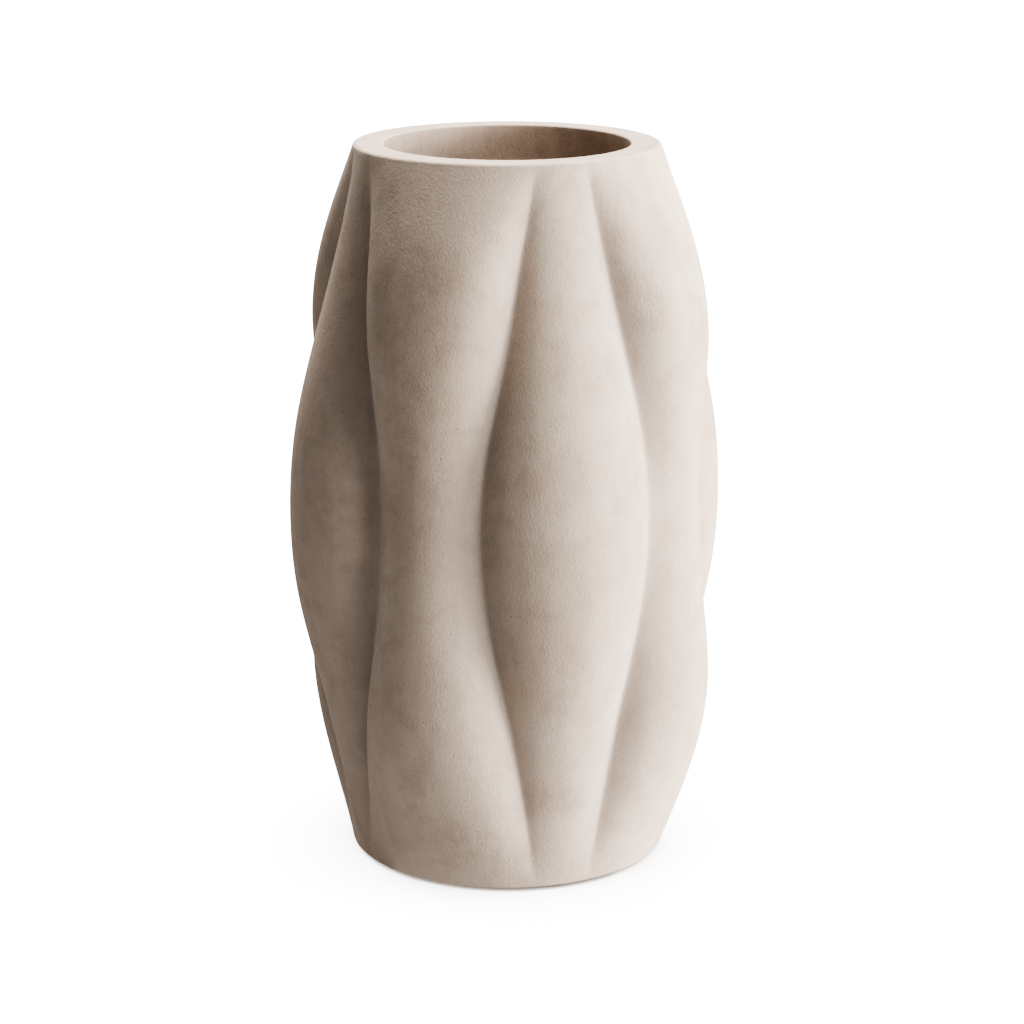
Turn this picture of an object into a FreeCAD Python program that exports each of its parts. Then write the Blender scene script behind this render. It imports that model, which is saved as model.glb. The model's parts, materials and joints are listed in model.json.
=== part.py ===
import FreeCAD, Part
import math
import os

# Body: a barrel with upright lobes, standing on its foot, all in mm
body_height = 298.0
foot_radius = 66.5
rim_radius = 62.5
rim_wall = 12.2

# Lobes: leaf lobes are widest at mid height, the waisted lobes between them are narrowest there
leaf_count = 4
leaf_swell = 28.5
waisted_swell = 23.5
crease_swell = 15.5
leaf_half_angle = 26.0

# How far each line stands out at even steps from foot to rim, as shares of its swell
leaf_ridge_shares = (0, 0.25, 0.55, 0.88, 1, 0.90, 0.60, 0.27, 0)
waisted_ridge_shares = (0, 0.64, 0.99, 0.93, 0.83, 0.86, 0.98, 0.68, 0)
crease_shares = (0, 0.33, 0.57, 0.82, 1, 0.87, 0.63, 0.34, 0)
leaf_angle_shares = (0.38, 0.56, 0.75, 0.94, 1, 0.98, 0.79, 0.59, 0.36)

# Plain round bands that close the lobed wall below and above
foot_band_height = 2.0
foot_band_flare = 0.6
foot_rounding = 0.8
rim_band_height = 2.5
rim_band_flare = 0.8
rim_rounding = 1.5

# Hollow inside: it follows the lobes, thickens at the shoulder and ends in a straight round neck
wall_thickness = 9.0
shoulder_thickening = 5.0
floor_thickness = 12.0
floor_corner_radius = 10.0
neck_depth = 24.0

# Flat foot ring round a sunk underside, and the felt pads stuck under it, out of sight from above
foot_ring_width = 22.0
foot_recess_depth = 3.0
recess_corner_radius = 1.5
pad_outer_margin = 6.0
pad_inner_margin = 4.0
pad_thickness = 2.0
pad_names = ("front", "right", "back", "left")

# Cuts run past the faces they open by this much, and edges are found within the tolerance
overrun = 5.0
edge_tolerance = 0.0001

foot_level = pad_thickness
rim_level = foot_level + body_height
mouth_radius = rim_radius - rim_wall
neck_level = rim_level - neck_depth
last_station = len(crease_shares) - 1


def on_circle(radius, angle, level):
    # Angle 0 points to the front, -Y, and grows towards +X
    turn = math.radians(angle)
    return FreeCAD.Vector(radius * math.sin(turn), -radius * math.cos(turn), level)


def lobed_wire(leaf, waisted, crease, half_angle, level):
    # One closed ring of arcs, each from crease over ridge to crease
    pitch = 360 / leaf_count
    edges = []
    for i in range(leaf_count):
        ridge = i * pitch
        left = on_circle(crease, ridge - half_angle, level)
        right = on_circle(crease, ridge + half_angle, level)
        following = on_circle(crease, ridge + pitch - half_angle, level)
        leaf_arc = Part.Arc(left, on_circle(leaf, ridge, level), right)
        waisted_arc = Part.Arc(right, on_circle(waisted, ridge + pitch / 2, level), following)
        edges += [leaf_arc.toShape(), waisted_arc.toShape()]
    return Part.Wire(edges)


def wall_section(station, inset):
    # The lobed wall's section, drawn in by the inset
    share = station / last_station
    plain = foot_radius + (rim_radius - foot_radius) * share - inset
    return lobed_wire(
        plain + leaf_swell * leaf_ridge_shares[station],
        plain + waisted_swell * waisted_ridge_shares[station],
        plain + crease_swell * crease_shares[station],
        leaf_half_angle * leaf_angle_shares[station],
        foot_level + body_height * share,
    )


def round_section(radius, station, level):
    # A true circle, split at the same angles as the wall's section
    return lobed_wire(radius, radius, radius, leaf_half_angle * leaf_angle_shares[station], level)


def lobed_wall():
    low = round_section(foot_radius + foot_band_flare, 0, foot_level + foot_band_height)
    high = round_section(rim_radius + rim_band_flare, last_station, rim_level - rim_band_height)
    middle = [wall_section(station, 0) for station in range(1, last_station)]
    return Part.makeLoft([low] + middle + [high], True, False)


def ring_edges(solid, radius, level):
    # The edges of a solid that lie on one circle round the axis
    found = []
    for edge in solid.Edges:
        ends = [vertex.Point for vertex in edge.Vertexes]
        gaps = [max(abs(p.z - level), abs(math.hypot(p.x, p.y) - radius)) for p in ends]
        if max(gaps) < edge_tolerance:
            found.append(edge)
    return found


def round_ring(solid, radius, level, rounding):
    return solid.makeFillet(rounding, ring_edges(solid, radius, level))


def foot_band():
    # A short cone, narrowest at the underside, with its outer edge eased
    base = FreeCAD.Vector(0, 0, foot_level)
    cone = Part.makeCone(foot_radius, foot_radius + foot_band_flare, foot_band_height, base)
    rounding = min(foot_rounding, foot_band_height / 2)
    return round_ring(cone, foot_radius, foot_level, rounding)


def rim_band():
    # A short cone, narrowest at the flat rim, with its outer edge rounded
    base = FreeCAD.Vector(0, 0, rim_level - rim_band_height)
    cone = Part.makeCone(rim_radius + rim_band_flare, rim_radius, rim_band_height, base)
    rounding = min(rim_rounding, rim_band_height * 2 / 3, rim_wall / 3)
    return round_ring(cone, rim_radius, rim_level, rounding)


def hollow():
    # The lobed cavity, from the rounded floor up to the neck
    floor_radius = foot_radius - wall_thickness
    floor_level = foot_level + floor_thickness
    floor = round_section(floor_radius, 1, floor_level)
    middle = [wall_section(station, wall_thickness) for station in range(1, last_station - 1)]
    shoulder = wall_section(last_station - 1, wall_thickness + shoulder_thickening)
    neck = round_section(mouth_radius, last_station - 1, neck_level)
    cavity = Part.makeLoft([floor] + middle + [shoulder, neck], True, False)
    return round_ring(cavity, floor_radius, floor_level, floor_corner_radius)


def mouth_bore():
    # The straight round neck, flared by a quarter round at the rim's inner edge
    rounding = min(rim_rounding, rim_wall / 3)
    start = FreeCAD.Vector(0, 0, neck_level)
    side_low = FreeCAD.Vector(mouth_radius, 0, neck_level)
    side_high = FreeCAD.Vector(mouth_radius, 0, rim_level - rounding)
    slant = rounding * math.sqrt(0.5)
    middle = FreeCAD.Vector(mouth_radius + rounding - slant, 0, rim_level - rounding + slant)
    lip = FreeCAD.Vector(mouth_radius + rounding, 0, rim_level)
    lip_top = FreeCAD.Vector(mouth_radius + rounding, 0, rim_level + overrun)
    top = FreeCAD.Vector(0, 0, rim_level + overrun)
    outline = Part.Wire([
        Part.makeLine(start, side_low),
        Part.makeLine(side_low, side_high),
        Part.Arc(side_high, middle, lip).toShape(),
        Part.makeLine(lip, lip_top),
        Part.makeLine(lip_top, top),
        Part.makeLine(top, start),
    ])
    return Part.Face(outline).revolve(FreeCAD.Vector(0, 0, 0), FreeCAD.Vector(0, 0, 1), 360)


def foot_recess():
    # The sunk underside inside the foot ring
    radius = foot_radius - foot_ring_width
    base = FreeCAD.Vector(0, 0, foot_level - overrun)
    recess = Part.makeCylinder(radius, overrun + foot_recess_depth, base)
    rounding = min(recess_corner_radius, foot_recess_depth / 2)
    return round_ring(recess, radius, foot_level + foot_recess_depth, rounding)


def vase_body():
    solid = lobed_wall().fuse([foot_band(), rim_band()])
    return solid.cut([hollow(), mouth_bore(), foot_recess()])


def foot_pad(angle):
    # One felt disc under the foot ring, set in from both of its edges
    radius = (foot_ring_width - pad_outer_margin - pad_inner_margin) / 2
    base = on_circle(foot_radius - pad_outer_margin - radius, angle, foot_level - pad_thickness)
    return Part.makeCylinder(radius, pad_thickness, base)


def write_node(name, shape):
    shape.exportStep(os.path.join("parts", name + ".step"))
    print(name, "valid" if shape.isValid() else "not valid", len(shape.Solids), "solid")


os.makedirs("parts", exist_ok=True)
write_node("vase_body", vase_body())
for i, name in enumerate(pad_names):
    write_node("foot_pad_" + name, foot_pad(i * 360 / len(pad_names)))
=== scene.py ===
import json
import math

import bmesh
import bpy
import numpy as np
from mathutils import Matrix, Vector

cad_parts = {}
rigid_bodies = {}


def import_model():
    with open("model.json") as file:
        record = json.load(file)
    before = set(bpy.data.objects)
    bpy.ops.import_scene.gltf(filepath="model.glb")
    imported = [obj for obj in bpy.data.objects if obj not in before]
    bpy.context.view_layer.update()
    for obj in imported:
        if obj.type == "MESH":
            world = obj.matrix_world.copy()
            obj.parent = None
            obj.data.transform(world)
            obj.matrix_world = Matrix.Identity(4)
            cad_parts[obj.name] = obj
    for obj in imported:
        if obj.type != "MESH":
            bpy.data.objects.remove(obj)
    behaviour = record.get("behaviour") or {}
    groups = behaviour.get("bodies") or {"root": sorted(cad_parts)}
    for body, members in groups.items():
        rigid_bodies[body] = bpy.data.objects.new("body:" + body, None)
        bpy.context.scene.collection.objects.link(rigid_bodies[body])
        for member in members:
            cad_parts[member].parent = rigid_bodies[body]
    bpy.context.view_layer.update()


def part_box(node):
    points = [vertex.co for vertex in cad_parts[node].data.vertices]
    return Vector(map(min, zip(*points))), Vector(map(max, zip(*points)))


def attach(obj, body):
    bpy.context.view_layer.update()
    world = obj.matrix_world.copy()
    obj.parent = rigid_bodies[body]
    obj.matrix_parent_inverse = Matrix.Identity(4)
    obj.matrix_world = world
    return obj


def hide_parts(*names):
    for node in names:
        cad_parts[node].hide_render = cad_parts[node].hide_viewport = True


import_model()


def toLinear(hexColour):  # sRGB hex to the linear colour that shaders want
    parts = [int(hexColour[i:i + 2], 16) / 255 for i in (1, 3, 5)]
    return tuple(c / 12.92 if c <= 0.04045 else ((c + 0.055) / 1.055) ** 2.4 for c in parts) + (1,)


def addNode(tree, kind, settings=None, links=None):
    # settings: attributes by name, or input sockets by "in:NAME" or "in:NUMBER"; links: socket to (node, output)
    node = tree.nodes.new(kind)
    for key, value in (settings or {}).items():
        if key.startswith("in:"):
            socket = key[3:]
            node.inputs[int(socket) if socket.isdigit() else socket].default_value = value
        else:
            setattr(node, key, value)
    for socket, (source, output) in (links or {}).items():
        tree.links.new(source.outputs[output], node.inputs[socket])
    return node


def newMaterial(name):
    material = bpy.data.materials.new(name)
    material.use_nodes = True
    material.node_tree.nodes.clear()
    return material, material.node_tree


def addPiece(name, mesh):
    piece = bpy.data.objects.new(name, mesh)
    bpy.context.scene.collection.objects.link(piece)
    return piece


# The vase's body, in metres. Most sizes are those of its construction; the lobes' ridges and angles, the creases,
# the flanks and the lip are fitted more closely to the photograph. Shares belong to nine even levels, foot to rim
vase = {
    "footRadius": 0.0665,
    "rimRadius": 0.0625,
    "mouthRadius": 0.0503,
    "leafCount": 4,
    "leafSwell": 0.02856,
    "waistedSwell": 0.0235,
    "creaseSwell": 0.0155,
    "leafHalfAngle": 26,
    "leafRidgeShares": (0, 0.25, 0.55, 0.88, 1, 0.90, 0.60, 0.27, 0),
    "waistedRidgeShares": (0, 0.63, 0.98, 0.94, 0.87, 0.88, 0.97, 0.67, 0),
    "creaseShares": (0, 0.33, 0.57, 0.82, 1, 0.87, 0.63, 0.34, 0),
    "leafAngleShares": (0.38, 0.56, 0.75, 0.955, 1.05, 0.995, 0.79, 0.59, 0.36),
    "creaseSoftness": 0.0011,  # how wide the bottom of a crease is rounded
    "creaseGroove": 0.0035,  # how much deeper than plain arcs the creases are pinched in
    "creaseGrooveShares": (0, 0.75, 0.92, 0.96, 1.1, 0.96, 0.9, 1, 0),
    "creaseReach": 0.005,  # how far from the crease that pinch reaches
    "creaseReachShares": (1, 1, 1, 1.4, 2, 1.45, 1, 1, 1),
    "flankFullness": 0.001,  # how much fuller than a plain arc the flanks of the waisted lobes are
    "flankFullnessShares": (0, 1, 1, -0.5, -0.8, -0.5, 1, 1, 0),
    "rimRounding": 0.0015,
    "lipRounding": 0.0009,  # the inner edge of the rim is crisper than the outer one
    "rimLean": 17,  # how far the wall leans in below the rim, in degrees
    "footRounding": 0.0008,
    "footLean": 14,
    "neckDepth": 0.024,
    "shoulderDepth": 0.048,
    "wallThickness": 0.009,
    "floorThickness": 0.012,
    "floorCorner": 0.010,
    "footRingWidth": 0.022,
    "footRingEdge": 0.0005,  # rounding of the foot ring's inner edge
    "recessDepth": 0.003,
    "creaseShadeReach": 0.006,  # how far out of the creases the painted crease shade reaches
    "creaseShadeSteepness": 1.5,  # how soon a crease is steep enough to get the full painted shade
    "columnsPerLobe": 36,
    "crowding": 0.65,  # 0 spaces the columns evenly, 1 crowds them most towards the creases
    "wallRows": 190,
    "neckRows": 10,
    "shoulderRows": 24,
    "insideRows": 30,
    "discRows": 12,  # rings of the recess under the foot and of the floor inside
}

footLevel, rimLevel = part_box("vase_body")[0].z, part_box("vase_body")[1].z


def smoothCurve(shares, at):  # natural cubic spline through evenly spaced shares
    values = np.array(shares, float)
    steps = len(values) - 1
    bend = np.zeros(steps + 1)
    system = 4 * np.eye(steps - 1) + np.eye(steps - 1, k=1) + np.eye(steps - 1, k=-1)
    bend[1:-1] = np.linalg.solve(system, 6 * (values[:-2] - 2 * values[1:-1] + values[2:]))
    place = np.clip(np.asarray(at, float), 0, 1) * steps
    i = np.minimum(place.astype(int), steps - 1)
    b = place - i
    a = 1 - b
    return a * values[i] + b * values[i + 1] + ((a ** 3 - a) * bend[i] + (b ** 3 - b) * bend[i + 1]) / 6


def lobeArc(ridge, crease, halfAngle, angle):  # circular arc from crease over ridge to crease
    offset = (ridge ** 2 - crease ** 2) / (2 * (ridge - crease * np.cos(halfAngle)))
    radius = ridge - offset
    return offset * np.cos(angle) + np.sqrt(radius ** 2 - (offset * np.sin(angle)) ** 2)


def wallRow(level, inset=0.0):
    # Radius, angle and painted crease shade of every column of the lobed wall at one level
    share = (level - footLevel) / (rimLevel - footLevel)
    plain = vase["footRadius"] + (vase["rimRadius"] - vase["footRadius"]) * min(max(share, 0), 1)
    leaf = plain + vase["leafSwell"] * smoothCurve(vase["leafRidgeShares"], share)
    waisted = plain + vase["waistedSwell"] * smoothCurve(vase["waistedRidgeShares"], share)
    crease = plain + vase["creaseSwell"] * smoothCurve(vase["creaseShares"], share)
    leafHalf = math.radians(vase["leafHalfAngle"] * smoothCurve(vase["leafAngleShares"], share))
    pitch = 2 * math.pi / vase["leafCount"]
    lobes = ((leaf, leafHalf), (waisted, pitch / 2 - leafHalf))

    tiny = 1e-4
    rises = [(lobeArc(ridge, crease, half, half - tiny) - lobeArc(ridge, crease, half, half)) / (crease * tiny)
             for ridge, half in lobes]
    slope = max(sum(rises) / 2, 0)  # how steeply the two lobes rise out of the crease
    groove = vase["creaseGroove"] * max(smoothCurve(vase["creaseGrooveShares"], share), 0)
    reach = vase["creaseReach"] * smoothCurve(vase["creaseReachShares"], share)
    fullness = vase["flankFullness"] * smoothCurve(vase["flankFullnessShares"], share)

    even = np.arange(vase["columnsPerLobe"]) / vase["columnsPerLobe"] * 2 - 1
    across = (1 - vase["crowding"]) * even + vase["crowding"] * np.sin(even * math.pi / 2)
    flanks = fullness * 4 * across ** 2 * (1 - across ** 2)  # nothing at ridge and crease, most between them
    radii, angles, creaseShade = [], [], []
    for lobe in range(2 * vase["leafCount"]):
        ridge, half = lobes[lobe % 2]
        angle = across * half
        gap = (half - np.abs(angle)) * crease
        softGap = np.sqrt(gap ** 2 + vase["creaseSoftness"] ** 2)
        radius = lobeArc(ridge, crease, half, angle) + slope * (softGap - gap) - groove * np.exp(-softGap / reach)
        if lobe % 2 == 1:
            radius = radius + flanks
        radii.append(radius - inset)
        angles.append(lobe * pitch / 2 + angle)
        # Painted shade: darker and greyer towards the bottom of each crease, fullest where the crease is steep
        creaseShade.append(np.exp(-gap / vase["creaseShadeReach"]) * min(slope * vase["creaseShadeSteepness"], 1))
    return np.concatenate(radii), np.concatenate(angles), np.concatenate(creaseShade)


def vaseRows():
    # Rows of (radius, level, angle, painted crease shade) from the underside, over the rim, to the inside floor. The
    # counts in the turns say how finely an edge is rounded, and the shares say where the rows of a flat part lie
    rows = []

    def add(radius, level, angle, creaseShade):
        rows.append((np.broadcast_to(radius, angle.shape), level, angle, creaseShade))

    noCreaseShade = np.zeros(vase["columnsPerLobe"] * 2 * vase["leafCount"])
    quarter = math.pi / 2
    footAngle = wallRow(footLevel)[1]

    # The recess under the foot, and the foot ring
    ringInner = vase["footRadius"] - vase["footRingWidth"]
    recessLevel = footLevel + vase["recessDepth"]
    corner = vase["recessDepth"] / 2
    for share in np.linspace(0.04, 0.94, vase["discRows"]):
        add(ringInner * share, recessLevel, footAngle, noCreaseShade)
    for turn in np.linspace(0, quarter, 5):
        radius = ringInner - corner + corner * math.sin(turn)
        add(radius, recessLevel - corner + corner * math.cos(turn), footAngle, noCreaseShade)
    edge = vase["footRingEdge"]
    for turn in np.linspace(0, quarter, 4):
        add(ringInner + edge - edge * math.cos(turn), footLevel + edge - edge * math.sin(turn), footAngle, noCreaseShade)
    lean = math.radians(vase["footLean"])
    rounding = vase["footRounding"]
    lowWall = footLevel + rounding * (1 - math.sin(lean))
    radius, angle, creaseShade = wallRow(lowWall)
    ringOuter = radius - rounding * math.cos(lean)
    for share in np.linspace(0.15, 0.98, 6):
        add(ringInner + edge + (ringOuter - ringInner - edge) * share, footLevel, angle, noCreaseShade)
    for turn in np.linspace(-quarter, -lean, 6):
        add(ringOuter + rounding * math.cos(turn), footLevel + rounding + rounding * math.sin(turn), angle, noCreaseShade)

    # The lobed wall, and the flat rim between its two rounded edges
    lean = math.radians(vase["rimLean"])
    rounding = vase["rimRounding"]
    highWall = rimLevel - rounding * (1 - math.sin(lean))
    for level in np.linspace(lowWall, highWall, vase["wallRows"])[1:-1]:
        radius, angle, creaseShade = wallRow(level)
        add(radius, level, angle, creaseShade)
    radius, angle, creaseShade = wallRow(highWall)
    flatOuter = radius - rounding * math.cos(lean)
    for turn in np.linspace(lean, quarter, 8):
        add(flatOuter + rounding * math.cos(turn), rimLevel - rounding + rounding * math.sin(turn), angle, noCreaseShade)
    rounding = vase["lipRounding"]
    flatInner = vase["mouthRadius"] + rounding
    for share in (0.15, 0.5, 0.85):
        add(flatOuter + (flatInner - flatOuter) * share, rimLevel, angle, noCreaseShade)
    for turn in np.linspace(0, quarter, 7):
        add(flatInner - rounding * math.sin(turn), rimLevel - rounding + rounding * math.cos(turn), angle, noCreaseShade)

    # The round neck, which widens into the lobes, and the floor
    neckLevel = rimLevel - vase["neckDepth"]
    shoulderLevel = rimLevel - vase["shoulderDepth"]
    floorLevel = footLevel + vase["floorThickness"]
    for level in np.linspace(rimLevel - rounding, neckLevel, vase["neckRows"])[1:]:
        add(vase["mouthRadius"], level, wallRow(level)[1], noCreaseShade)
    for level in np.linspace(neckLevel, shoulderLevel, vase["shoulderRows"])[1:]:
        radius, angle, creaseShade = wallRow(level, vase["wallThickness"])
        part = (neckLevel - level) / (neckLevel - shoulderLevel)
        blend = part * part * (3 - 2 * part)
        add(vase["mouthRadius"] + (radius - vase["mouthRadius"]) * blend, level, angle, creaseShade * blend)
    corner = vase["floorCorner"]
    for level in np.linspace(shoulderLevel, floorLevel + corner, vase["insideRows"])[1:]:
        radius, angle, creaseShade = wallRow(level, vase["wallThickness"])
        add(radius, level, angle, creaseShade)
    for turn in np.linspace(0, quarter, 8)[1:]:
        add(radius - corner + corner * math.cos(turn), floorLevel + corner - corner * math.sin(turn), angle, noCreaseShade)
    inner = rows[-1][0]
    for share in np.linspace(0.92, 0.06, vase["discRows"]):
        add(inner * share, floorLevel, footAngle, noCreaseShade)
    return rows


def buildVase():
    rows = vaseRows()
    columns = len(rows[0][2])
    points, creaseShading = [], []
    for radius, level, angle, creaseShade in rows:
        points.append(np.stack([radius * np.sin(angle), -radius * np.cos(angle), np.full(columns, level)], axis=1))
        creaseShading.append(creaseShade)
    points = np.concatenate(points)
    across = np.arange(columns)
    following = (across + 1) % columns
    faces = []
    for i in range(len(rows) - 1):
        low, high = i * columns, (i + 1) * columns
        faces.append(np.stack([low + across, low + following, high + following, high + across], axis=1))
    faces = np.concatenate(faces).tolist()
    first, last = len(points), len(points) + 1  # the middles of the underside and of the inside floor
    points = np.concatenate([points, [(0, 0, rows[0][1]), (0, 0, rows[-1][1])]])
    top = (len(rows) - 1) * columns
    faces += [(first, int(b), int(a)) for a, b in zip(across, following)]
    faces += [(last, int(top + a), int(top + b)) for a, b in zip(across, following)]
    mesh = bpy.data.meshes.new("vaseBody")
    mesh.from_pydata(points.tolist(), [], faces)
    mesh.polygons.foreach_set("use_smooth", [True] * len(faces))
    # The painted crease shade of each point, which the material uses to darken and grey the creases
    valley = mesh.attributes.new("valley", "FLOAT", "POINT")
    valley.data.foreach_set("value", np.concatenate(creaseShading + [[0, 0]]).astype(np.float32))
    mesh.update()
    return addPiece("vaseBody", mesh)


# Unglazed sand-coloured stoneware, cast and then wiped with a sponge before firing: a dead matt skin with a
# fine upright grain, clouds of warmer brown, small dark pits and specks and a few stains. The bottoms of the
# creases are darkened and greyed as painted shade
stoneware = {
    "base": "#BEAA99",
    "pale": "#C8B5A5",
    "brown": "#95816F",
    "speck": "#6F5F52",
    # the grey of the painted shade at the bottom of the creases
    "creaseShade": "#A29A93",
    "roughness": 0.92,
    "grainWidth": 0.9,  # mm, as all sizes here; the real grit is about half that, too fine to show in the render
    "grainHeight": 1.25,
    "grainDepth": 0.165,
    "rippleSize": 3.0,
    "rippleDepth": 0.12,
    "unevenSize": 26,
    "unevenDepth": 0.12,
    "cloudSize": 48,
    "mottleSize": 13,
    "mottleStrength": 0.36,
    "streakWidth": 5,
    "streakLength": 100,
    "streakShade": 0.035,  # how much lighter and darker than the clay the streaks are
    "gritShade": 0.045,
    "pitSpacing": 2.7,
    "pitBareShare": 0.72,  # the share of the skin that is left without them
    "pitRadius": 0.17,  # of the largest, as a share of their spacing, as is the softness of their edge
    "pitEdge": 0.06,
    "pitDepth": 0.16,
    "pitStrength": 0.34,
    "speckleSpacing": 1.3,  # specks are finer than the pits and lie in loose clusters
    "speckleBareShare": 0.5,
    "speckleRadius": 0.32,
    "speckleEdge": 0.1,
    "speckleStrength": 0.3,
    "clusterSize": 22,
    # how far the painted crease shade goes towards that grey
    "creaseShadeStrength": 0.5,
    "stainGrain": 6,
    "stains": (  # degrees from the front, level, reach across, reach up, strength
        (-40, 256, 17, 18, 0.75),
        (-37, 238, 13, 16, 0.6),
        (-61, 287, 11, 13, 0.8),
        (-47, 192, 11, 14, 0.6),
        (7, 218, 14, 15, 0.6),
        (32, 191, 12, 16, 0.5),
        (17, 262, 7, 14, 0.5),
        (20, 250, 5, 9, 0.9),
        (27, 243, 12, 20, 0.7),
        (40, 227, 9, 12, 0.4),
        (-36, 22, 18, 13, 0.8),
        (-5, 42, 16, 9, 0.7),
        (21, 74, 8, 14, 0.5),
        (-74, 160, 16, 26, 0.4),
        (118, 90, 22, 26, 0.6),
        (160, 210, 20, 24, 0.7),
        (-140, 70, 24, 20, 0.7),
        (-165, 180, 18, 28, 0.5),
        (75, 190, 15, 22, 0.4),
    ),
    "wrinkles": (26, 247, 12, 21),  # degrees from the front, level, reach across, reach up
    "wrinkleSlant": 24,
    "wrinkleSpacing": 4.5,
    "wrinkleSlimness": 0.28,  # their spacing as a share of their length
    "wrinkleEdge": 0.035,
    "wrinkleDepth": 0.1,
}


def wallPoint(degrees, level):  # the point of the outer wall at an angle and a level in mm, in mm
    radius, angle, creaseShade = wallRow(level / 1000)
    turn = math.radians(degrees)
    nearest = int(np.argmin(np.abs(np.angle(np.exp(1j * (angle - turn))))))
    return radius[nearest] * 1000 * math.sin(turn), -radius[nearest] * 1000 * math.cos(turn), level


def wallPatch(tree, mm, place, outer, inner, strength=1):
    # A soft oval patch on the wall: 0 beyond its reach times outer, and strength within its reach times inner
    degrees, level, across, up = place
    away = addNode(tree, "ShaderNodeVectorMath", {"operation": "SUBTRACT", "in:1": wallPoint(degrees, level)},
                   {0: (mm, 0)})
    sized = addNode(tree, "ShaderNodeVectorMath", {"operation": "MULTIPLY", "in:1": (1 / across, 1 / across, 1 / up)},
                    {0: (away, 0)})
    reach = addNode(tree, "ShaderNodeVectorMath", {"operation": "LENGTH"}, {0: (sized, 0)})
    return addNode(tree, "ShaderNodeMapRange", {"interpolation_type": "SMOOTHSTEP", "in:From Min": outer,
                   "in:From Max": inner, "in:To Max": strength}, {"Value": (reach, "Value")})


def scatterSpecks(tree, mm, spacing, bareShare, radius, edge, channel):
    # Round specks at random, 0 between them and 1 inside; a channel of each cell's random colour sets its size
    cells = addNode(tree, "ShaderNodeTexVoronoi", {"in:Scale": 1 / spacing}, {"Vector": (mm, 0)})
    spread = addNode(tree, "ShaderNodeSeparateColor", {}, {"Color": (cells, "Color")})
    size = addNode(tree, "ShaderNodeMapRange", {"in:From Min": bareShare, "in:To Max": radius},
                   {"Value": (spread, channel)})
    inside = addNode(tree, "ShaderNodeMath", {"operation": "SUBTRACT", "use_clamp": True},
                     {0: (size, 0), 1: (cells, "Distance")})
    return addNode(tree, "ShaderNodeMapRange", {"in:From Max": edge}, {"Value": (inside, 0)})


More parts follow.
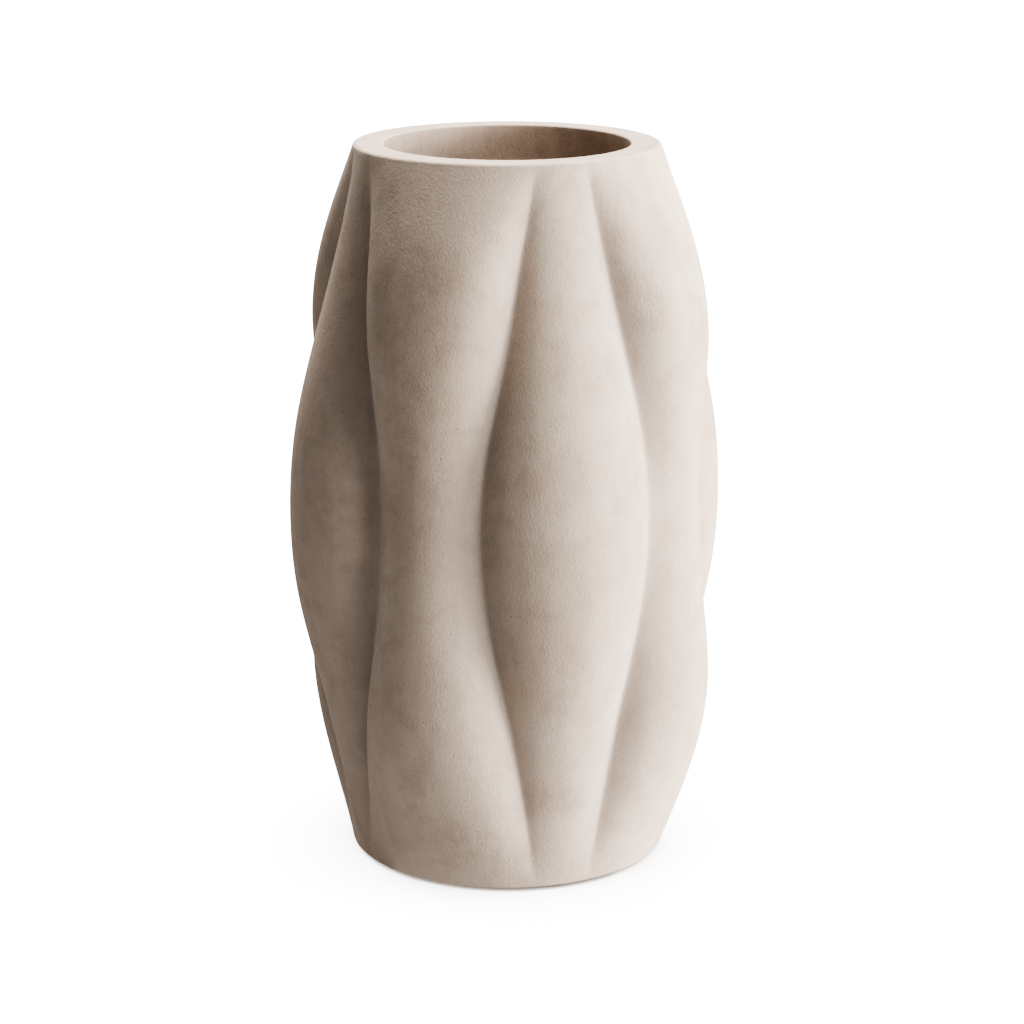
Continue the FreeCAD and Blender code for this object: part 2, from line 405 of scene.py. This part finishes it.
def stonewareMaterial():
    # A noise rarely leaves 0.3 to 0.7, so its middle is spread out wherever it mixes colours
    look = stoneware
    material, tree = newMaterial("unglazedSandStoneware")
    place = addNode(tree, "ShaderNodeTexCoord")
    mm = addNode(tree, "ShaderNodeVectorMath", {"operation": "SCALE", "in:Scale": 1000}, {0: (place, "Object")})

    # Clouds and mottling in the fired clay
    cloud = addNode(tree, "ShaderNodeTexNoise", {"in:Scale": 1 / look["cloudSize"], "in:Detail": 4,
                    "in:Roughness": 0.55, "in:Distortion": 0.7}, {"Vector": (mm, 0)})
    cloudShare = addNode(tree, "ShaderNodeMapRange", {"in:From Min": 0.32, "in:From Max": 0.68}, {"Value": (cloud, 0)})
    clay = addNode(tree, "ShaderNodeMix", {"data_type": "RGBA", "in:6": toLinear(look["base"]),
                   "in:7": toLinear(look["pale"])}, {0: (cloudShare, 0)})
    mottle = addNode(tree, "ShaderNodeTexNoise", {"in:Scale": 1 / look["mottleSize"], "in:Detail": 6,
                     "in:Roughness": 0.62, "in:Distortion": 0.4}, {"Vector": (mm, 0)})
    mottleShare = addNode(tree, "ShaderNodeMapRange", {"in:From Min": 0.48, "in:From Max": 0.78,
                          "in:To Max": look["mottleStrength"]}, {"Value": (mottle, 0)})
    brownClay = addNode(tree, "ShaderNodeMix", {"data_type": "RGBA", "in:7": toLinear(look["brown"])},
                        {0: (mottleShare, 0), 6: (clay, 2)})

    # Stains, each a soft patch broken up by finer mottling
    ragged = addNode(tree, "ShaderNodeTexNoise", {"in:Scale": 1 / look["stainGrain"], "in:Detail": 5,
                     "in:Roughness": 0.65}, {"Vector": (mm, 0)})
    stainShare = None
    for *spot, strength in look["stains"]:
        patch = wallPatch(tree, mm, spot, 1.25, 0.1, strength)
        if stainShare is None:
            stainShare = patch
        else:
            stainShare = addNode(tree, "ShaderNodeMath", {"operation": "MAXIMUM"}, {0: (stainShare, 0), 1: (patch, 0)})
    broken = addNode(tree, "ShaderNodeMapRange", {"in:From Min": 0.32, "in:From Max": 0.68, "in:To Min": 0.1,
                     "in:To Max": 0.62}, {"Value": (ragged, 0)})
    stain = addNode(tree, "ShaderNodeMath", {"operation": "MULTIPLY"}, {0: (stainShare, 0), 1: (broken, 0)})
    stainedClay = addNode(tree, "ShaderNodeMix", {"data_type": "RGBA", "in:7": toLinear(look["brown"])},
                          {0: (stain, 0), 6: (brownClay, 2)})

    # Faint upright streaks left by the sponge
    streakStretch = look["streakWidth"] / look["streakLength"]
    drawn = addNode(tree, "ShaderNodeVectorMath", {"operation": "MULTIPLY", "in:1": (1, 1, streakStretch)},
                    {0: (mm, 0)})
    streak = addNode(tree, "ShaderNodeTexNoise", {"in:Scale": 1 / look["streakWidth"], "in:Detail": 3,
                     "in:Roughness": 0.5}, {"Vector": (drawn, 0)})
    streakShade = addNode(tree, "ShaderNodeMapRange", {"in:From Min": 0.3, "in:From Max": 0.7,
                          "in:To Min": 1 - look["streakShade"], "in:To Max": 1 + look["streakShade"]},
                          {"Value": (streak, 0)})

    # Fine grit in the colour, and dark pits scattered at random
    grit = addNode(tree, "ShaderNodeTexNoise", {"in:Scale": 1 / look["grainWidth"], "in:Detail": 2,
                   "in:Roughness": 0.7}, {"Vector": (mm, 0)})
    gritShade = addNode(tree, "ShaderNodeMapRange", {"in:From Min": 0.25, "in:From Max": 0.75,
                        "in:To Min": 1 - look["gritShade"], "in:To Max": 1 + look["gritShade"]}, {"Value": (grit, 0)})
    pit = scatterSpecks(tree, mm, look["pitSpacing"], look["pitBareShare"], look["pitRadius"], look["pitEdge"], 0)
    pitShare = addNode(tree, "ShaderNodeMath", {"operation": "MULTIPLY", "in:1": look["pitStrength"]}, {0: (pit, 0)})
    pittedClay = addNode(tree, "ShaderNodeMix", {"data_type": "RGBA", "in:7": toLinear(look["speck"])},
                         {0: (pitShare, 0), 6: (stainedClay, 2)})

    # Finer specks of grit, in loose clusters
    speckle = scatterSpecks(tree, mm, look["speckleSpacing"], look["speckleBareShare"], look["speckleRadius"],
                            look["speckleEdge"], 1)
    clusters = addNode(tree, "ShaderNodeTexNoise", {"in:Scale": 1 / look["clusterSize"], "in:Detail": 3,
                       "in:Roughness": 0.6}, {"Vector": (mm, 0)})
    clusterShare = addNode(tree, "ShaderNodeMapRange", {"in:From Min": 0.46, "in:From Max": 0.62,
                           "in:To Max": look["speckleStrength"]}, {"Value": (clusters, 0)})
    speckleShare = addNode(tree, "ShaderNodeMath", {"operation": "MULTIPLY"}, {0: (speckle, 0), 1: (clusterShare, 0)})
    speckledClay = addNode(tree, "ShaderNodeMix", {"data_type": "RGBA", "in:7": toLinear(look["speck"])},
                           {0: (speckleShare, 0), 6: (pittedClay, 2)})

    # Painted shade: the bottoms of the creases are mixed towards a darker grey
    valley = addNode(tree, "ShaderNodeAttribute", {"attribute_name": "valley"})
    creaseShadeShare = addNode(tree, "ShaderNodeMapRange", {"in:To Max": look["creaseShadeStrength"]}, {"Value": (valley, "Fac")})
    creaseShadedClay = addNode(tree, "ShaderNodeMix", {"data_type": "RGBA", "in:7": toLinear(look["creaseShade"])},
                        {0: (creaseShadeShare, 0), 6: (speckledClay, 2)})
    shade = addNode(tree, "ShaderNodeMath", {"operation": "MULTIPLY"}, {0: (streakShade, 0), 1: (gritShade, 0)})
    colour = addNode(tree, "ShaderNodeVectorMath", {"operation": "SCALE"}, {0: (creaseShadedClay, 2), "Scale": (shade, 0)})

    # Relief, from broad unevenness down to the upright grain and the pits
    uneven = addNode(tree, "ShaderNodeTexNoise", {"in:Scale": 1 / look["unevenSize"], "in:Detail": 2},
                     {"Vector": (mm, 0)})
    unevenBump = addNode(tree, "ShaderNodeBump", {"in:Distance": look["unevenDepth"] / 1000}, {"Height": (uneven, 0)})
    grainStretch = look["grainWidth"] / look["grainHeight"]
    upright = addNode(tree, "ShaderNodeVectorMath", {"operation": "MULTIPLY", "in:1": (1, 1, grainStretch)},
                      {0: (mm, 0)})
    ripple = addNode(tree, "ShaderNodeTexNoise", {"in:Scale": 1 / look["rippleSize"], "in:Detail": 3,
                     "in:Roughness": 0.55}, {"Vector": (upright, 0)})
    rippleBump = addNode(tree, "ShaderNodeBump", {"in:Distance": look["rippleDepth"] / 1000},
                         {"Height": (ripple, 0), "Normal": (unevenBump, 0)})
    grain = addNode(tree, "ShaderNodeTexNoise", {"in:Scale": 1 / look["grainWidth"], "in:Detail": 2,
                    "in:Roughness": 0.6, "in:Distortion": 0.3}, {"Vector": (upright, 0)})
    grainBump = addNode(tree, "ShaderNodeBump", {"in:Distance": look["grainDepth"] / 1000},
                        {"Height": (grain, 0), "Normal": (rippleBump, 0)})
    pitBump = addNode(tree, "ShaderNodeBump", {"invert": True, "in:Distance": look["pitDepth"] / 1000},
                      {"Height": (pit, 0), "Normal": (grainBump, 0)})

    # A few fine wrinkles where the wet clay was pinched: lines where a slanted, drawn-out noise passes its middle
    wrinkled = wallPatch(tree, mm, look["wrinkles"], 1, 0.2)
    wrinkleTurn = (0, math.radians(look["wrinkleSlant"]), 0)
    slanted = addNode(tree, "ShaderNodeMapping", {"in:Rotation": wrinkleTurn}, {"Vector": (mm, 0)})
    drawnOut = addNode(tree, "ShaderNodeVectorMath", {"operation": "MULTIPLY", "in:1": (1, 1, look["wrinkleSlimness"])},
                       {0: (slanted, 0)})
    folds = addNode(tree, "ShaderNodeTexNoise", {"in:Scale": 1 / look["wrinkleSpacing"], "in:Detail": 2.5,
                    "in:Roughness": 0.5, "in:Distortion": 0.8}, {"Vector": (drawnOut, 0)})
    offMiddle = addNode(tree, "ShaderNodeMath", {"operation": "SUBTRACT", "in:1": 0.5}, {0: (folds, 0)})
    fromMiddle = addNode(tree, "ShaderNodeMath", {"operation": "ABSOLUTE"}, {0: (offMiddle, 0)})
    foldLine = addNode(tree, "ShaderNodeMapRange", {"interpolation_type": "SMOOTHSTEP",
                       "in:From Min": look["wrinkleEdge"], "in:From Max": 0}, {"Value": (fromMiddle, 0)})
    foldDepth = addNode(tree, "ShaderNodeMath", {"operation": "MULTIPLY"}, {0: (foldLine, 0), 1: (wrinkled, 0)})
    foldBump = addNode(tree, "ShaderNodeBump", {"invert": True, "in:Distance": look["wrinkleDepth"] / 1000},
                       {"Height": (foldDepth, 0), "Normal": (pitBump, 0)})

    dryness = addNode(tree, "ShaderNodeMapRange", {"in:From Min": 0.3, "in:From Max": 0.7,
                      "in:To Min": look["roughness"] - 0.06, "in:To Max": look["roughness"] + 0.05},
                      {"Value": (mottle, 0)})
    shader = addNode(tree, "ShaderNodeBsdfPrincipled", {"in:IOR": 1.5, "in:Specular IOR Level": 0.3},
                     {"Base Color": (colour, 0), "Roughness": (dryness, 0), "Normal": (foldBump, 0)})
    addNode(tree, "ShaderNodeOutputMaterial", {}, {"Surface": (shader, 0)})
    return material


vasePiece = buildVase()
vasePiece.data.materials.append(stonewareMaterial())
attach(vasePiece, "root")
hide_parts("vase_body")
print("vase body:", len(vasePiece.data.polygons), "faces")

# Pressed wool felt, punched out of sheet: matt grey-brown fibres lying in all directions, fuzzy at the cut edge
felt = {
    "wool": "#6B6158",
    "darkWool": "#4C443D",
    "paleFibre": "#93887B",
    "fibreWidth": 0.35,  # mm, as the next three; real fibres are ten times finer, which wouldn't show
    "fibreDepth": 0.12,
    "tangleSize": 1.6,
    "patchSize": 2.4,
    "bulge": 0.00015,  # how far the cut edge swells under the weight, in metres as the fuzz
    "fuzz": 0.00006,
    "rings": 10,
    "columns": 72,
}


def feltMaterial():
    look = felt
    material, tree = newMaterial("pressedWoolFelt")
    place = addNode(tree, "ShaderNodeTexCoord")
    mm = addNode(tree, "ShaderNodeVectorMath", {"operation": "SCALE", "in:Scale": 1000}, {0: (place, "Object")})

    # Fibres: bands bent by a noise, so that they lie in all directions
    tangle = addNode(tree, "ShaderNodeTexNoise", {"in:Scale": 1 / look["tangleSize"], "in:Detail": 3,
                     "in:Distortion": 1.2}, {"Vector": (mm, 0)})
    turned = addNode(tree, "ShaderNodeVectorMath", {"operation": "SCALE", "in:Scale": 2.5}, {0: (tangle, "Color")})
    bent = addNode(tree, "ShaderNodeVectorMath", {"operation": "ADD"}, {0: (mm, 0), 1: (turned, 0)})
    fibres = addNode(tree, "ShaderNodeTexWave", {"in:Scale": 0.3 / look["fibreWidth"], "in:Distortion": 5,
                     "in:Detail": 3, "in:Detail Scale": 1.5}, {"Vector": (bent, 0)})

    # Darker and paler wool
    patches = addNode(tree, "ShaderNodeTexNoise", {"in:Scale": 1 / look["patchSize"], "in:Detail": 4},
                      {"Vector": (mm, 0)})
    wool = addNode(tree, "ShaderNodeMix", {"data_type": "RGBA", "in:6": toLinear(look["darkWool"]),
                   "in:7": toLinear(look["wool"])}, {0: (patches, 0)})
    paleShare = addNode(tree, "ShaderNodeMapRange", {"in:From Min": 0.75, "in:To Max": 0.5},
                        {"Value": (fibres, "Fac")})
    fleece = addNode(tree, "ShaderNodeMix", {"data_type": "RGBA", "in:7": toLinear(look["paleFibre"])},
                     {0: (paleShare, 0), 6: (wool, 2)})
    bump = addNode(tree, "ShaderNodeBump", {"in:Distance": look["fibreDepth"] / 1000}, {"Height": (fibres, "Fac")})
    shader = addNode(tree, "ShaderNodeBsdfPrincipled", {"in:Roughness": 0.97, "in:Specular IOR Level": 0.15,
                     "in:Sheen Weight": 0.35, "in:Sheen Roughness": 0.6},
                     {"Base Color": (fleece, 2), "Normal": (bump, 0)})
    addNode(tree, "ShaderNodeOutputMaterial", {}, {"Surface": (shader, 0)})
    return material


def buildPad(name, node, material):
    # A punched disc: flat above and below, its cut edge a little swollen and fuzzy
    low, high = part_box(node)
    centre, radius, thickness = (low + high) / 2, (high.x - low.x) / 2, high.z - low.z
    random = np.random.default_rng(len(name) + int(1000 * abs(centre.x + 2 * centre.y)))
    flatShares = (0.25, 0.5, 0.75, 0.93)
    profile = [(share, 0.0) for share in flatShares]
    for turn in np.linspace(-math.pi / 2, math.pi / 2, felt["rings"]):
        profile.append((0.97 + 0.03 * math.cos(turn), 0.5 + 0.5 * math.sin(turn)))
    profile += [(share, 1.0) for share in reversed(flatShares)]
    turns = np.arange(felt["columns"]) * 2 * math.pi / felt["columns"]
    form = bmesh.new()
    rings = []
    for share, height in profile:
        edge = math.sin(math.pi * height)
        fuzz = random.normal(0, felt["fuzz"], len(turns)) * edge
        reach = radius * share - felt["bulge"] * 0.5 + felt["bulge"] * edge + fuzz
        level = low.z + thickness * height
        rings.append([form.verts.new((centre.x + r * math.cos(t), centre.y + r * math.sin(t), level))
                      for r, t in zip(reach, turns)])
    for lower, upper in zip(rings, rings[1:]):
        for i in range(len(turns)):
            j = (i + 1) % len(turns)
            form.faces.new((lower[i], lower[j], upper[j], upper[i]))
    form.faces.new(list(reversed(rings[0])))
    form.faces.new(rings[-1])
    mesh = bpy.data.meshes.new(name)
    form.to_mesh(mesh)
    form.free()
    mesh.polygons.foreach_set("use_smooth", [len(face.vertices) == 4 for face in mesh.polygons])
    mesh.materials.append(material)
    pad = addPiece(name, mesh)
    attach(pad, "root")
    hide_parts(node)


feltFinish = feltMaterial()
padSides = ("Front", "Right", "Back", "Left")
for side in padSides:
    buildPad("footPad" + side, "foot_pad_" + side.lower(), feltFinish)
print("foot pads:", len(padSides))

# Camera where the photograph was taken from: metres and degrees, turned about the vase
view = {
    "lens": 102.12,
    "distance": 1.1762,
    "height": 0.4676,
    "sideStep": 0.0020,
    "turn": -20.0,
    "pitch": 15.38,
}


def setCamera():
    data = bpy.data.cameras.new("camera")
    data.lens = view["lens"]
    data.sensor_width = 36
    data.clip_end = 50
    camera = addPiece("camera", data)
    turn = Matrix.Rotation(math.radians(view["turn"]), 4, "Z")
    camera.location = turn @ Vector((view["sideStep"], -view["distance"], view["height"]))
    camera.rotation_euler = (math.radians(90 - view["pitch"]), 0, math.radians(view["turn"]))
    bpy.context.scene.camera = camera


# Round lamps by their direction from the vase: degrees to the right of the camera and above the table
lamps = {
    "windowFront": {"to": (50, 5), "watts": 18},
    "windowHigh": {"to": (50, 38), "watts": 18},
    "windowMiddle": {"to": (75, 5), "watts": 66},
    "windowFar": {"to": (100, 5), "watts": 52},
    "overRight": {"to": (90, 68), "watts": 12},
    "overBack": {"to": (180, 68), "watts": 100},
    "leftEdge": {"to": (-110, 5), "watts": 6},
    "leftHigh": {"to": (-80, 38), "watts": 3},
    "backLeft": {"to": (-150, 5), "watts": 6},
}
# Light that a pale table throws up: squares that meet under the vase, each a quarter of the table
tableGlows = {
    "glowRight": {"to": 90, "radiance": 1.35},
    "glowFront": {"to": 0, "radiance": 0.72},
    "glowLeft": {"to": -90, "radiance": 0.37},
    "glowBack": {"to": 180, "radiance": 0.3},
}
studio = {
    "white": "#FFFFFF",
    "paper": "#F3F3F3",
    "lampDistance": 2.2,
    "lampSize": 0.9,
    "aimHeight": 0.15,
    "glowSize": 1.33,
    "glowHeight": 0.0003,  # just above the floor
    "floorStrength": 22.09,
    "floorSpread": 130,
    "skyStrength": 6,
    "floorReach": 20,
}


def addLight(name, kind, location, receivers):
    data = bpy.data.lights.new(name, kind)
    light = addPiece(name, data)
    light.location = location
    light.light_linking.receiver_collection = receivers
    return light, data


def buildLights(floor):
    # The floor has a light of its own, so that it stays evenly pale; the others leave it out
    leaveOut = bpy.data.collections.new("allButFloor")
    leaveOut.objects.link(floor)
    leaveOut.collection_objects[0].light_linking.link_state = "EXCLUDE"
    onlyFloor = bpy.data.collections.new("onlyFloor")
    onlyFloor.objects.link(floor)
    aim = Vector((0, 0, studio["aimHeight"]))
    for name, plan in lamps.items():
        azimuth, elevation = math.radians(plan["to"][0] + view["turn"]), math.radians(plan["to"][1])
        way = Vector((math.sin(azimuth) * math.cos(elevation), -math.cos(azimuth) * math.cos(elevation),
                      math.sin(elevation)))
        light, data = addLight(name, "AREA", aim + way * studio["lampDistance"], leaveOut)
        light.rotation_euler = way.to_track_quat("Z", "Y").to_euler()
        data.shape = "DISK"
        data.size = studio["lampSize"]
        data.energy = plan["watts"]
        data.color = toLinear(studio["white"])[:3]
    size = studio["glowSize"]
    for name, plan in tableGlows.items():
        azimuth = math.radians(plan["to"] + view["turn"])
        spot = Vector((math.sin(azimuth), -math.cos(azimuth), 0)) * size * math.sqrt(0.5)
        light, data = addLight(name, "AREA", spot + Vector((0, 0, studio["glowHeight"])), leaveOut)
        light.rotation_euler = (math.pi, 0, azimuth + math.pi / 4)
        light.visible_camera = False
        data.shape = "SQUARE"
        data.size = size
        data.energy = plan["radiance"] * math.pi * size ** 2
    light, data = addLight("floorSun", "SUN", Vector((0, 0, 3)), onlyFloor)
    data.energy = studio["floorStrength"]
    data.angle = math.radians(studio["floorSpread"])


def buildFloor():
    reach = studio["floorReach"]
    mesh = bpy.data.meshes.new("floor")
    mesh.from_pydata([(-reach, -reach, 0), (reach, -reach, 0), (reach, reach, 0), (-reach, reach, 0)], [],
                     [(0, 1, 2, 3)])
    floor = addPiece("floor", mesh)
    material, tree = newMaterial("palePaper")
    shader = addNode(tree, "ShaderNodeBsdfDiffuse", {"in:Color": toLinear(studio["paper"])})
    addNode(tree, "ShaderNodeOutputMaterial", {}, {"Surface": (shader, 0)})
    mesh.materials.append(material)
    floor.visible_diffuse = False
    floor.visible_glossy = False
    return floor


def buildWorld():  # white beyond the floor for the camera, but no light from there
    world = bpy.data.worlds.new("studio")
    world.use_nodes = True
    tree = world.node_tree
    tree.nodes.clear()
    white = toLinear(studio["white"])
    ray = addNode(tree, "ShaderNodeLightPath")
    dark = addNode(tree, "ShaderNodeBackground", {"in:Color": white, "in:Strength": 0})
    pale = addNode(tree, "ShaderNodeBackground", {"in:Color": white, "in:Strength": studio["skyStrength"]})
    seen = addNode(tree, "ShaderNodeMixShader", {}, {0: (ray, "Is Camera Ray"), 1: (dark, 0), 2: (pale, 0)})
    addNode(tree, "ShaderNodeOutputWorld", {}, {"Surface": (seen, 0)})
    bpy.context.scene.world = world


setCamera()
buildLights(buildFloor())
buildWorld()
bpy.context.scene.view_settings.view_transform = "AgX"
bpy.context.scene.view_settings.look = "AgX - High Contrast"
print("camera, floor and lights: done")
